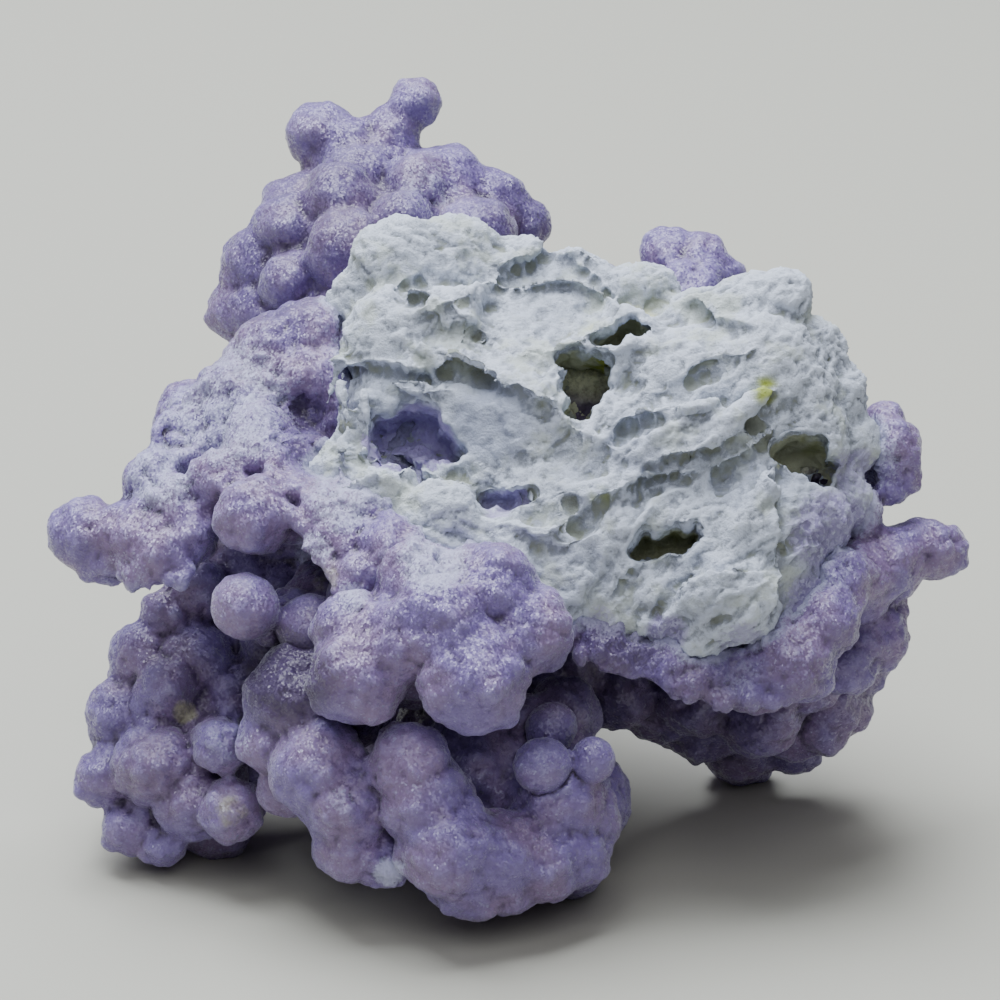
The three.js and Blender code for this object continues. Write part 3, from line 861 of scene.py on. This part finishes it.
def crustSkin():
    graph = Shaper("torn_crust_skin")
    spot = graph.spot()
    calm = graph.painted("calm")
    wobble = graph.clouds(spot, 1.4, 3.0, output="Color")
    bent = graph.vector("MULTIPLY_ADD", wobble, (1.6, 1.6, 1.6), graph.painted("grain", "FLOAT_VECTOR"))
    sheets = graph.shelves(graph.clouds(bent, crust["sheetSize"], 2.0), 9)
    flakes = graph.shelves(graph.clouds(bent, crust["flakeSize"], 3.0, 0.6), 6)
    crumbs = graph.cells(bent, crust["crumbSize"], output="Color")
    crumbly = graph.span(graph.clouds(spot, 3.5, 2.0), 0.45, 0.6)
    lift = (sheets - 0.5) * crust["sheetHeight"] * calm
    lift = lift + (flakes - 0.5) * crust["flakeHeight"] * (0.25 + 0.75 * calm)
    lift = lift + (crumbs - 0.5) * (crust["crumbHeight"] * 2) * crumbly
    lift = lift + (graph.clouds(spot, 0.35, 3.0, 0.7) - 0.5) * 0.12
    knobs = graph.cells(spot, crust["knobSize"])
    lift = lift + (0.4 - knobs * knobs) * graph.painted("cave") * crust["knobHeight"]
    graph.lift(lift - 0.1)
    graph.paintRelief(9, 2.0)
    return graph.finish()


def paintCrust(piece, before):
    points = pointsOf(piece.data)
    across, up, back = toSight(points)
    depth = holeDepth(points, before) * ease(-0.5, -0.1, facingOf(piece.data))
    wander = wandering(points, 0.8, 1.0)[:, 0]
    purple = inSpots(across, up, crust["purpleSpots"])
    inHole = ease(1.7, 2.5, depth + 0.5 * wander)
    crystal = inSpots(across, up, crust["crystalSpots"])
    # painted shade deep in the holes and around the pits
    dark = 0.35 * ease(3.0, 5.5, depth + 0.8 * wander)
    for a, b, size, _ in crust["pits"]:
        shade = ease(size * 1.4, size * 0.4, np.hypot(across - a, up - b)) * ease(-3, -5, back)
        dark = np.maximum(dark, 0.3 * shade)
    # olive stain on the hole walls, painted pale as painted light
    paint(piece, "moss", 0.85 * inHole * (1 - ease(0.1, 0.4, purple)))
    paint(piece, "dark", dark * (1 - ease(0.1, 0.4, purple)))
    paint(piece, "purple", np.maximum(purple * ease(0.35, 0.8, depth), crystal))
    paint(piece, "violet", ease(0.3, 0.8, purple) * ease(0.5, 1.2, depth + 0.3 * wander))
    # painted shade spots
    paint(piece, "dusk", inSpots(across, up, crust["greyShadeSpots"]))
    limeInside = inSpots(across, up, crust["limeInside"]) * inHole
    lime = np.maximum(inSpots(across, up, crust["limeSpots"]), limeInside)
    paint(piece, "lime", lime * ease(-0.5, 0.1, wander))


def makeCrust():
    balls = []
    for across, up, back, size in crust["lumps"]:
        balls.append(egg((across, up, back), [share * size for share in crust["lumpStretch"]]))
    for middle, long, wide, turn in crust["folds"] + crust["strands"]:
        balls.append(egg(middle, (long, wide, wide), turn))
    piece = fused("white_crust", balls, crust["coarseVoxel"], 1)
    before = pointsOf(piece.data)
    carveCrust(piece)
    addRemesh(piece, crust["voxel"])
    bake(piece)
    paintGrain(piece)
    addShaper(piece, crustSkin())
    bake(piece)
    paintCrust(piece, before)
    return piece


print("white crust")
crustPiece = makeCrust()

# the chalcedony: grapes [across, up, back, radius] by where they grow

grapes = {
    "leftFinger": [
        (-24.8, -2.2, -4, 2.3), (-24.0, -3.6, -4.5, 1.6), (-22.2, -2.2, -5, 2.3),
        (-20.1, -2.9, -6, 2.2), (-18.7, -1.8, -6, 1.9), (-19.7, -0.1, -5.5, 1.7),
    ],
    "leftCrust": [
        (-21.0, 1.1, -4, 1.9), (-18.6, 3.5, -2, 2.4), (-16.1, 5.9, -1, 2.6), (-13.7, 8.3, 0, 2.9),
        (-11.1, 9.9, 0, 2.5), (-16.7, 1.3, -6, 1.9), (-14.1, 3.1, -4, 2.7), (-11.7, 1.5, -7, 2.4),
        (-10.3, 4.5, -3, 2.4), (-14.8, -1.0, -8.5, 2.3), (-12.6, -1.2, -7, 1.6),
        (-11.0, 6.5, -2, 2.6), (-8.6, 3.6, -3, 2.4), (-5.4, 3.6, -3.5, 2.4), (-6.2, 0.8, -5.5, 2.0),
        (-14.6, 5.4, -2, 2.2),
    ],
    "overhang": [
        (-10.4, -0.8, -8.5, 1.8), (-9.4, -2.6, -9.5, 1.9), (-8.2, -4.6, -10.5, 1.9),
        (-6.4, -3.0, -10.5, 2.2), (-8.0, -0.6, -8.5, 2.0),
    ],
    "cave": [
        (-13.7, -7.3, -6.4, 1.5), (-12.6, -7.0, -4.6, 1.7), (-20.1, -6.7, 0, 1.6),
        (-18.2, -5.4, 0.5, 2.0), (-15.0, -4.4, 2.5, 2.4), (-16.6, -8.6, 2.5, 2.6),
        (-13.0, -8.6, -0.5, 2.6), (-10.6, -6.0, -2.5, 2.4),
    ],
    "leftFoot": [
        (-20.1, -11.4, -2, 2.0), (-21.6, -9.3, 0, 1.9), (-18.3, -9.9, 0, 2.5), (-22.8, -12.9, 0, 2.2),
        (-20.7, -15.9, -3, 2.4), (-23.8, -16.6, -1, 1.9), (-22.3, -15.2, 0, 2.0),
        (-22.5, -19.8, -1.5, 1.6), (-21.2, -18.6, -0.5, 2.0), (-20.1, -20.9, -2, 1.4),
        (-18.5, -18.1, -3, 2.3), (-16.1, -18.7, -5, 1.9), (-16.7, -14.7, -5.5, 1.7),
        (-17.0, -14.6, -3.2, 1.8), (-18.0, -13.8, 0, 2.7),
    ],
    "middleColumn": [
        (-12.0, -11.8, -8, 3.2), (-14.0, -14.4, -8, 1.9), (-10.8, -16.1, -10, 2.9),
        (-9.3, -18.3, -10.5, 2.6), (-8.9, -20.7, -10, 2.2), (-7.7, -21.4, -10, 1.7),
        (-6.7, -22.4, -10.5, 1.1), (-12.9, -17.4, -7, 1.8), (-9.3, -12.0, -6, 3.0),
    ],
    "frontColumn": [
        (-5.4, -15.8, -12, 2.5), (-4.3, -18.3, -12, 2.6), (-3.0, -20.9, -12, 3.0),
        (-1.8, -22.9, -11, 2.3), (-0.1, -21.4, -11, 2.8), (-1.8, -15.6, -6.5, 3.4),
    ],
    "frontFoot": [
        (3.6, -18.3, -9, 2.8), (5.2, -19.1, -8, 2.0), (4.4, -21.1, -9, 2.3), (2.4, -21.7, -10, 2.5),
        (0.4, -23.0, -10.5, 2.0), (1.3, -13.0, -8, 0.8), (1.8, -17.4, -7, 3.0),
    ],
    "frontLobe": [
        (-8.5, -10.5, -13, 3.0), (-6.3, -8.4, -13, 2.7), (-3.6, -7.3, -13.5, 3.1),
        (-1.5, -10.7, -14.5, 3.2), (1.8, -7.8, -13, 2.6), (-9.0, -7.7, -12, 2.3),
        (-0.6, -5.4, -12.5, 2.9), (-4.8, -4.8, -12, 2.5),
    ],
    "underRim": [
        (4.9, -7.4, -8.5, 1.8), (6.6, -8.4, -9, 1.6), (8.2, -9.1, -9, 1.6), (10.3, -9.5, -9.5, 1.6),
        (12.4, -10.1, -9.5, 1.6), (14.5, -10.6, -9, 2.0), (17.3, -9.6, -9, 2.8), (19.3, -7.3, -8, 2.3),
        (16.0, -11.5, -8, 1.4), (13.0, -11.5, -7.2, 1.1), (20.3, -4.8, -7, 2.0),
    ],
    "rightFinger": [
        (21.4, -4.8, -4, 2.5), (23.5, -3.7, -3, 2.2), (25.6, -3.1, -2, 1.9), (26.9, -3.0, -1.5, 1.4),
    ],
    "rightLobe": [
        (22.2, -8.4, -2, 2.3), (23.0, -6.7, -1, 1.7), (20.8, -9.7, -3, 2.0), (21.7, -6.0, 0, 2.4),
    ],
    "rightKnob": [
        (23.6, 3.1, -3, 1.8), (24.4, 1.5, -3, 1.1), (23.0, 4.6, -2, 1.3), (23.4, 0.6, -3, 1.1),
        (21.6, 2.8, -0.5, 2.4), (20.0, 2.0, 2.0, 2.6), (21.6, -0.8, -4, 1.5),
    ],
    "rearRightFoot": [
        (16.5, -12.8, 1, 2.0), (17.1, -12.5, -1, 0.8), (19.3, -13.3, 4, 2.0), (21.0, -12.7, 5, 1.6),
        (12.0, -13.3, 6, 2.6), (14.4, -14.7, 8, 2.5), (9.6, -12.1, 5, 2.6), (7.1, -11.4, 3, 2.4),
        (14.4, -15.1, 10.6, 2.3), (17.5, -15.0, 8, 1.8), (4.7, -9.4, 2, 2.4), (4.4, -11.6, 3, 2.2),
        (2.2, -11.0, 1, 2.0),
    ],
    "rearLeftFoot": [
        (-5.1, -12.8, 16.9, 2.4), (-8.0, -12.0, 16.5, 2.6), (-5.5, -10.0, 16.0, 2.8),
    ],
    "topRightKnob": [
        (9.9, 14.8, 6, 1.8), (12.0, 14.2, 6, 2.0), (13.6, 13.6, 6, 1.2), (11.4, 12.3, 4, 2.0),
    ],
    "backLobe": [
        (-5.0, 23.8, 17, 1.7), (-6.5, 22.2, 17, 1.8), (-10.9, 22.0, 17, 2.2), (-9.3, 20.7, 17, 2.5),
        (-7.1, 19.7, 17, 2.9), (-3.6, 18.0, 16, 3.4), (-0.6, 17.5, 16, 2.6), (1.6, 16.6, 16, 1.6),
        (-12.0, 16.9, 16, 2.9), (-14.1, 13.9, 15, 2.8), (-15.6, 11.3, 15, 2.2), (-10.2, 15.0, 14, 3.3),
        (-6.0, 14.3, 14, 3.6), (-2.3, 14.3, 14, 3.5),
    ],
}

freeBalls = {
    "leftCave": [(-15.3, -6.4, -9, 2.1), (-11.4, -7.6, -8, 2.0)],
    "frontFoot": [(2.5, -15.9, -11.5, 1.7), (5.6, -15.6, -10.8, 1.38), (3.1, -13.7, -9.2, 1.6)],
}

# toothed crystalline edges: a line of [across, up, back], how many teeth, their sizes and their turn
fringes = {
    "overhang": {
        "line": [(-12.6, -0.4, -9.4), (-11.2, -3.2, -10.6), (-9.6, -5.4, -12.0), (-8.2, -6.4, -12.4)],
        "count": 22, "size": (0.35, 0.62), "turn": 150,
    },
    "leftFinger": {
        "line": [(-23.0, -4.6, -6.2), (-20.6, -4.9, -7.4), (-18.4, -4.2, -7.6)],
        "count": 12, "size": (0.35, 0.6), "turn": 250,
    },
    "underRim": {
        "line": [(4.6, -9.0, -10.0), (8.2, -10.4, -10.4), (12.6, -11.7, -10.8), (16.6, -11.9, -10.6),
                 (19.4, -9.8, -9.6)],
        "count": 34, "size": (0.35, 0.7), "turn": 265,
    },
}

cores = {
    "middle": {"centre": (3, 3.5, 3.5), "half": (17, 9, 6), "spread": 64},
    "left": {"centre": (-12, 2, 3.5), "half": (6.8, 7, 5.5), "spread": 24},
    "leftFoot": {"centre": (-18.6, -14.2, 2), "half": (3.6, 5.4, 4), "spread": 12, "allRound": True},
    "frontFoot": {"centre": (0.5, -17, -5), "half": (6, 5.5, 4), "spread": 16},
    "frontLobe": {"centre": (-3.5, -7, -7.5), "half": (7, 5.5, 5), "spread": 0},
    "backLobe": {"centre": (-7, 11, 14.5), "half": (7.5, 8.5, 5.5), "spread": 44, "allRound": True},
    "rearLeftFoot": {"centre": (-6, -5, 12), "half": (6, 10, 6), "spread": 30},
    "rightFoot": {"centre": (16, -8, 4), "half": (6, 6, 4.5), "spread": 24, "allRound": True},
}

# which clusters and cores are melted into each piece, how fine, and how much they are studded
stonePieces = {
    "chalcedony_left": {
        "grapes": ["leftFinger", "leftCrust", "overhang", "cave", "leftFoot"],
        "cores": ["left", "leftFoot"], "balls": ["leftCave"], "fringes": ["overhang", "leftFinger"],
        "voxel": 0.208, "buds": 6, "budShare": (0.45, 0.6), "calm": 0.9, "seed": 11,
    },
    "chalcedony_front": {
        "grapes": ["middleColumn", "frontColumn", "frontFoot", "frontLobe"],
        "cores": ["frontFoot", "frontLobe"], "balls": ["frontFoot"], "fringes": [],
        "voxel": 0.18, "buds": 7, "budShare": (0.45, 0.62), "calm": 0.8, "seed": 12,
    },
    "chalcedony_right": {
        "grapes": ["underRim", "rightFinger", "rightLobe", "rightKnob", "rearRightFoot"],
        "cores": ["rightFoot"], "balls": [], "fringes": ["underRim"],
        "voxel": 0.18, "buds": 7, "budShare": (0.4, 0.55), "calm": 1.0, "seed": 13,
    },
    "chalcedony_body": {
        "grapes": ["topRightKnob", "rearLeftFoot"],
        "cores": ["middle", "rearLeftFoot"], "balls": [], "fringes": [],
        "voxel": 0.26, "buds": 6, "budShare": (0.45, 0.6), "calm": 1.0, "seed": 14,
    },
    "chalcedony_back_lobe": {
        "grapes": ["backLobe"],
        "cores": ["backLobe"], "balls": [], "fringes": [],
        "voxel": 0.24, "buds": 7, "budShare": (0.4, 0.6), "calm": 0.6, "seed": 15,
    },
}

druse = {
    "domeSize": 1.25,
    "domeHeight": 0.42,
    "beadSize": 0.6,
    "beadHeight": 0.12,
    "lumpSize": 3.0,
    "lumpHeight": 0.6,
    "crumbHeight": 0.34,  # where it turns to frosty rubble beside the crust
    "meltReach": 60,  # rounds of blurring
    "leastMelt": 0.35,
    # across, up, radius and strength of places where grapes have grown into one mass
    "meltSpots": [
        (-14.5, 6.0, 8.0, 1.0), (-4.5, -8.5, 7.5, 0.85), (-3.5, -3.5, 4.5, 0.9), (-3.0, -18.5, 5.5, 0.75),
        (2.8, -19.5, 5.0, 0.75), (-10.5, -15.0, 5.5, 0.6), (23.5, -4.0, 4.5, 0.8), (-22.3, -2.6, 4.5, 0.8),
        (12.0, -9.0, 7.0, 0.75), (18.0, -9.0, 4.5, 0.7), (-6.0, 18.0, 12.0, 0.7), (22.5, 2.5, 3.5, 0.7),
    ],
    # flat faces: middle [across, up], half-sizes, turn
    "plates": [
        ((-12.2, 2.6), (2.6, 1.5), -28), ((-18.2, 5.2), (3.2, 1.6), 44), ((-4.6, -7.6), (2.6, 1.6), -12),
    ],
    # hollows in the front: the same, and how deep
    "dents": [((-4.9, 3.8), (3.4, 2.2), -10, 3.5), ((-11.2, 4.1), (1.7, 2.7), 12, 2.4)],
    "frostReach": 1.1,
    # across, up, radius and strength of frosted places away from the crust; the one at (2.5, -15.9) is
    # partly painted light on a ball in the lobe's shade
    "frostSpots": [
        (-16.5, 6.0, 6.5, 0.62), (-20.5, 1.5, 3.5, 0.65), (-14.5, 3.0, 4.5, 0.3), (-9.5, 0.0, 3.2, 0.65),
        (-4.0, -3.6, 3.2, 0.75), (-6.7, -22.4, 1.4, 0.95), (-16.5, -14.5, 2.2, 0.45),
        (19.5, -3.5, 3.5, 0.5), (22.5, 2.5, 2.8, 0.6), (14.5, -10.5, 2.0, 0.4), (-22.5, -4.6, 2.5, 0.4),
        (17.5, -8.0, 2.5, 0.35), (-4.2, 18.8, 2.8, 0.45), (11.0, 13.6, 2.0, 0.4), (-11.2, -3.0, 1.8, 0.6),
        (-8.8, -5.8, 1.6, 0.6), (-9.5, -18.0, 1.3, 0.5), (-6.8, -13.8, 1.2, 0.35),
        (2.5, -15.9, 2.2, 0.35), (21.6, -0.8, 2.2, 0.7),
    ],
    # the same for ochre stains
    "ochreSpots": [(-18.9, -12.8, 1.2, 0.9), (-16.1, -18.7, 1.7, 0.7), (-10.5, -4.6, 1.6, 0.6)],
    # and of deeper purple tone and painted shade, mostly under overhangs and rims
    "deepToneAndShadeSpots": [
        (-13.0, -10.6, 4.2, 0.9), (-19.0, -10.4, 3.4, 0.35), (-21.0, -15.6, 5.5, 0.2),
        (7.4, -8.4, 3.4, 0.7), (-11.4, -7.6, 2.4, 0.3), (-9.2, 17.6, 6.0, 0.4), (1.2, 16.4, 4.0, 0.4),
        (-13.8, 13.6, 5.0, 0.3), (12.0, -13.5, 5.5, 0.4), (5.0, -12.0, 4.5, 0.5), (21.6, -9.0, 2.6, 0.25),
        (13.0, -10.6, 3.4, 0.4), (17.4, -10.4, 3.0, 0.3),
    ],
}


def dentStone(piece):
    points = pointsOf(piece.data)
    across, up, back = toSight(points + wandering(points, 0.8, 0.3))
    facing = ease(-0.1, 0.2, facingOf(piece.data)) * ease(2, 0, back)
    shade = np.zeros(len(points))
    fewestPoints = 50  # with fewer, the plate lies on another piece
    for middle, half, turn in druse["plates"]:
        share = ease(1.1, 0.8, inOval(across, up, middle, half, turn)) * facing
        if np.count_nonzero(share > 0.5) > fewestPoints:
            points -= towardsEye * flattening(across, up, back, share)[:, None]
    # dents are pushed back and darkened with painted shade
    for middle, half, turn, deep in druse["dents"]:
        share = ease(1.2, 0.6, inOval(across, up, middle, half, turn)) * ease(6, 0, back)
        points -= towardsEye * (deep * share)[:, None]
        shade = np.maximum(shade, 0.4 * share)
    piece.data.vertices.foreach_set("co", points.ravel())
    # seen through the holes in the crust it gets an olive stain painted pale as painted light, and painted
    # shade low down
    murk = np.zeros(len(points))
    cave = ease(0.1, 0.4, inSpots(across, up, crust["purpleSpots"]))
    for outline, _ in crust["holes"]:
        behind = ease(-0.9, -0.3, inOutline(across, up, outline)) * ease(4, 2, back)
        top, foot = max(u for a, u in outline), min(u for a, u in outline)
        low = ease(0.55, 0.15, (up - foot) / (top - foot))
        murk = np.maximum(murk, behind * (1 - cave))
        shade = np.maximum(shade, 0.95 * behind * low * (1 - cave))
    return shade, murk


def stoneSkin():
    graph = Shaper("sugary_skin")
    graph.melt(graph.painted("melt"), druse["meltReach"])
    spot = graph.spot()
    near = graph.span(graph.gapTo(crustPiece), druse["frostReach"], 0.1)
    frost = graph.painted("frost").orMore(near * 0.85)
    calm = graph.painted("calm")
    wobble = graph.clouds(spot, 1.6, 2.0, output="Color")
    bent = graph.vector("MULTIPLY_ADD", wobble, (0.8, 0.8, 0.8), spot)
    dome = graph.cells(bent, druse["domeSize"])
    bead = graph.cells(bent, druse["beadSize"])
    wear = graph.span(graph.clouds(spot, 3.0, 2.0), 0.3, 0.65)
    rubble = graph.cells(bent, 0.8, output="Color") - 0.5
    lumps = graph.clouds(spot, druse["lumpSize"], 2.0)
    lift = (0.4 - dome * dome) * wear * calm * druse["domeHeight"]
    lift = lift + (0.3 - bead * bead) * druse["beadHeight"] * (0.4 + 0.6 * calm)
    lift = lift + (lumps - 0.5) * calm * (druse["lumpHeight"] * 2)
    lift = lift + rubble * frost * calm * (druse["crumbHeight"] * 2)
    lift = lift + (graph.clouds(spot, 0.45, 3.0, 0.7) - 0.5) * 0.1
    graph.lift(lift)
    graph.paint("frost", frost)
    graph.paintRelief(9, 2.4)
    return graph.finish()


def stoneBalls(plan, loneBalls):
    chance = random.Random(plan["seed"])
    balls = []
    rows = [row for cluster in plan["grapes"] for row in grapes[cluster]]
    for coreName in plan["cores"]:
        core = cores[coreName]
        balls.append(egg(core["centre"], core["half"], detail=4))
        rows += spreadRows(core, 100 * (list(cores).index(coreName) + 1))
    for across, up, back, size in rows:
        centre = toFrame(across, up, back)
        balls.append(grape(centre, size, chance))
        balls += buds(centre, size, chance, plan["buds"], plan["budShare"])
    for edge in plan["fringes"]:
        balls += teeth(fringes[edge], chance)
    balls += [grape(toFrame(a, u, b), size * 1.02, chance, detail=2) for a, u, b, size in loneBalls]
    return balls


def paintStone(piece, plan, loneBalls, shade, murk):
    points = pointsOf(piece.data)
    across, up, back = toSight(points)
    calm = np.ones(len(points))
    for a, u, b, size in loneBalls:  # they keep a smoother skin
        calm[np.linalg.norm(points - np.array(toFrame(a, u, b)), axis=1) < size * 1.06] = 0.12
    calm *= plan["calm"]
    front = ease(-0.4, 0.2, facingOf(piece.data))
    facing = front * (ease(6, 1, back) if piece.name != "chalcedony_back_lobe" else 1.0)
    melted = np.maximum(inSpots(across, up, druse["meltSpots"]) * facing, druse["leastMelt"])
    # painted shade from the dents and holes, with the deep tone and shade spots
    paint(piece, "shade", np.maximum(shade, inSpots(across, up, druse["deepToneAndShadeSpots"]) * front))
    # olive stain with painted light where the stone shows through the holes
    paint(piece, "murk", murk * 0.9)
    paint(piece, "calm", calm)
    paint(piece, "melt", melted * np.minimum(calm, 1.0))
    paint(piece, "frost", inSpots(across, up, druse["frostSpots"]) * facing)
    paint(piece, "ochre", inSpots(across, up, druse["ochreSpots"]) * ease(4, 0, back))


def makeStone(name, plan):
    loneBalls = [row for group in plan["balls"] for row in freeBalls[group]]
    piece = fused(name, stoneBalls(plan, loneBalls), plan["voxel"], 2)
    shade, murk = dentStone(piece)
    paintStone(piece, plan, loneBalls, shade, murk)
    addShaper(piece, skin)
    bake(piece)
    points = pointsOf(piece.data)
    points[:, 2] = np.maximum(points[:, 2], 0)
    piece.data.vertices.foreach_set("co", points.ravel())
    return piece


skin = stoneSkin()
for pieceName, plan in stonePieces.items():
    print("chalcedony:", pieceName)
    inMetres(makeStone(pieceName, plan), "chalcedony", stone)
inMetres(crustPiece, "host_rock_crust", rock)
